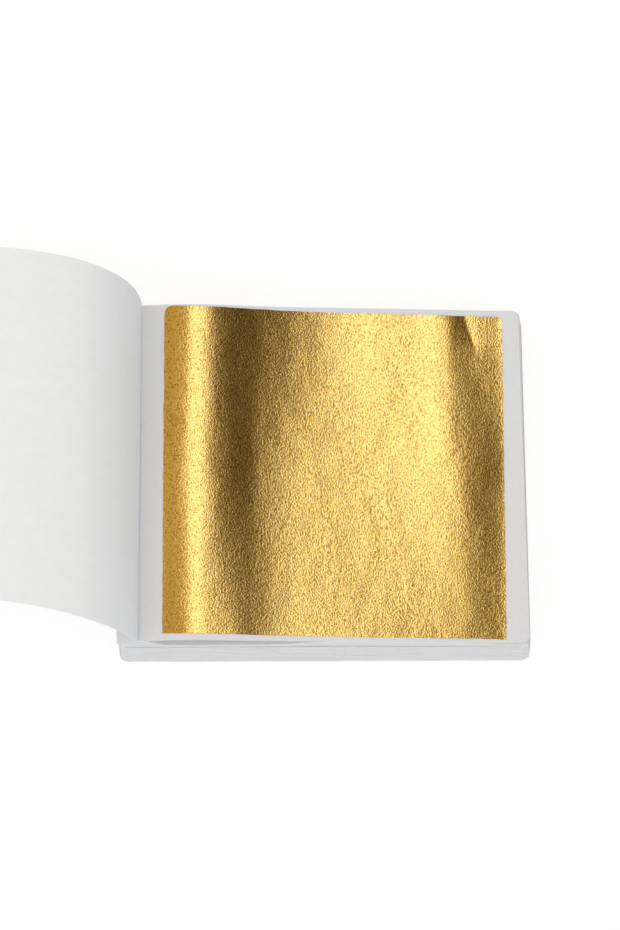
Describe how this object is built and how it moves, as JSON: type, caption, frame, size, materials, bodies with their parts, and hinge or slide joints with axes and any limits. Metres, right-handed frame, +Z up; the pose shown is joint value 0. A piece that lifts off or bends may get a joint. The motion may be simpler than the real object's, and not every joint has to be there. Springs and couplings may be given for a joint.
{
  "type": "gold leaf booklet",
  "caption": "Square booklet of paper pages with a sheet of gold leaf on each, stapled along one margin, its front cover turned back in a curl.",
  "frame": {"origin": "middle of the back cover's underside, on the surface that the booklet rests on", "axes": "+X from the bound spine to the fore edge, +Y along the spine away from the viewer, +Z up through the pages"},
  "size_m": [0.1656, 0.0879, 0.048],
  "materials": {
    "page_tissue": "matte",
    "cover_paper": "matte",
    "card": "matte",
    "gold_leaf": "satin",
    "steel_wire": "satin"
  },
  "bodies": {
    "booklet": {"back_cover": "card", "page_bundle_1": "page_tissue", "page_bundle_2": "page_tissue", "page_bundle_3": "page_tissue", "page_bundle_4": "page_tissue", "page_bundle_5": "page_tissue", "page_bundle_6": "page_tissue", "page_bundle_7": "page_tissue", "page_bundle_8": "page_tissue", "gold_leaf_bundle_1": "gold_leaf", "gold_leaf_bundle_2": "gold_leaf", "gold_leaf_bundle_3": "gold_leaf", "gold_leaf_bundle_4": "gold_leaf", "gold_leaf_bundle_5": "gold_leaf", "gold_leaf_bundle_6": "gold_leaf", "gold_leaf_bundle_7": "gold_leaf", "gold_leaf_bundle_8": "gold_leaf", "loose_pages": "page_tissue", "loose_gold_leaves": "gold_leaf", "top_page_margin": "page_tissue", "front_cover_margin": "cover_paper", "staples": "steel_wire"},
    "cover_band_1": {"front_cover_band_1": "cover_paper"},
    "cover_band_2": {"front_cover_band_2": "cover_paper"},
    "cover_band_3": {"front_cover_band_3": "cover_paper"},
    "cover_band_4": {"front_cover_band_4": "cover_paper"},
    "cover_band_5": {"front_cover_band_5": "cover_paper"},
    "cover_band_6": {"front_cover_band_6": "cover_paper"},
    "cover_band_7": {"front_cover_band_7": "cover_paper"},
    "cover_band_8": {"front_cover_band_8": "cover_paper"},
    "cover_band_9": {"front_cover_band_9": "cover_paper"},
    "cover_band_10": {"front_cover_band_10": "cover_paper"},
    "cover_band_11": {"front_cover_band_11": "cover_paper"},
    "cover_band_12": {"front_cover_band_12": "cover_paper"},
    "top_page": {"top_page": "page_tissue"},
    "gold_leaf": {"top_gold_leaf": "gold_leaf"}
  },
  "joints": [
    {"name": "cover_turn", "type": "hinge", "parent": "booklet", "child": "cover_band_1", "pos_m": [-0.0425, 0, 0.01452], "axis": [0, -1, 0], "range_deg": [-87, 15]},
    {"name": "cover_curl", "type": "hinge", "parent": "cover_band_1", "child": "cover_band_2", "pos_m": [-0.04274, 0, 0.01903], "axis": [0.0032, -0.9982, -0.0605], "range_deg": [-13, 0]},
    {"name": "cover_bend_2", "type": "hinge", "parent": "cover_band_2", "child": "cover_band_3", "pos_m": [-0.04398, 0.00001, 0.02337], "axis": [0.0162, -0.9943, -0.1058], "range_deg": [-10.5, 0.5]},
    {"name": "cover_bend_3", "type": "hinge", "parent": "cover_band_3", "child": "cover_band_4", "pos_m": [-0.04615, 0.00003, 0.02785], "axis": [0.0209, -0.9931, -0.1154], "range_deg": [-8.5, 0.5]},
    {"name": "cover_bend_4", "type": "hinge", "parent": "cover_band_4", "child": "cover_band_5", "pos_m": [-0.04943, 0.0001, 0.03273], "axis": [0.0113, -0.9948, -0.1013], "range_deg": [-8.5, 0.5]},
    {"name": "cover_bend_5", "type": "hinge", "parent": "cover_band_5", "child": "cover_band_6", "pos_m": [-0.05364, 0.00022, 0.03744], "axis": [-0.0117, -0.9971, -0.0758], "range_deg": [-11.5, 0.5]},
    {"name": "cover_bend_6", "type": "hinge", "parent": "cover_band_6", "child": "cover_band_7", "pos_m": [-0.05904, 0.00042, 0.04154], "axis": [-0.0376, -0.9977, -0.0563], "range_deg": [-14.5, 0.5]},
    {"name": "cover_bend_7", "type": "hinge", "parent": "cover_band_7", "child": "cover_band_8", "pos_m": [-0.06567, 0.00076, 0.0444], "axis": [-0.0376, -0.9977, -0.0563], "range_deg": [-15.5, 0.5]},
    {"name": "cover_bend_8", "type": "hinge", "parent": "cover_band_8", "child": "cover_band_9", "pos_m": [-0.07416, 0.00131, 0.04563], "axis": [-0.0462, -0.9974, -0.055], "range_deg": [-12.5, 0.5]},
    {"name": "cover_bend_9", "type": "hinge", "parent": "cover_band_9", "child": "cover_band_10", "pos_m": [-0.08315, 0.002, 0.04505], "axis": [-0.0548, -0.9969, -0.0556], "range_deg": [-8.5, 0.5]},
    {"name": "cover_bend_10", "type": "hinge", "parent": "cover_band_10", "child": "cover_band_11", "pos_m": [-0.09285, 0.00281, 0.04303], "axis": [-0.0717, -0.9957, -0.0591], "range_deg": [-5.5, 0.5]},
    {"name": "cover_bend_11", "type": "hinge", "parent": "cover_band_11", "child": "cover_band_12", "pos_m": [-0.1032, 0.00375, 0.03992], "axis": [-0.0717, -0.9957, -0.0591], "range_deg": [-3.5, 0.5]},
    {"name": "top_page_turn", "type": "hinge", "parent": "booklet", "child": "top_page", "pos_m": [-0.0422, 0, 0.0143], "axis": [0, -1, 0], "range_deg": [0, 82]},
    {"name": "gold_leaf_lift", "type": "slide", "parent": "top_page", "child": "gold_leaf", "axis": [0, 0, 1], "range_m": [0, 0.095]}
  ],
  "couplings": [
    {"joint": "cover_bend_2", "follows": "cover_curl", "ratio": 0.76923},
    {"joint": "cover_bend_3", "follows": "cover_curl", "ratio": 0.61538},
    {"joint": "cover_bend_4", "follows": "cover_curl", "ratio": 0.61538},
    {"joint": "cover_bend_5", "follows": "cover_curl", "ratio": 0.84615},
    {"joint": "cover_bend_6", "follows": "cover_curl", "ratio": 1.0769},
    {"joint": "cover_bend_7", "follows": "cover_curl", "ratio": 1.1538},
    {"joint": "cover_bend_8", "follows": "cover_curl", "ratio": 0.92308},
    {"joint": "cover_bend_9", "follows": "cover_curl", "ratio": 0.61538},
    {"joint": "cover_bend_10", "follows": "cover_curl", "ratio": 0.38461},
    {"joint": "cover_bend_11", "follows": "cover_curl", "ratio": 0.23077}
  ]
}
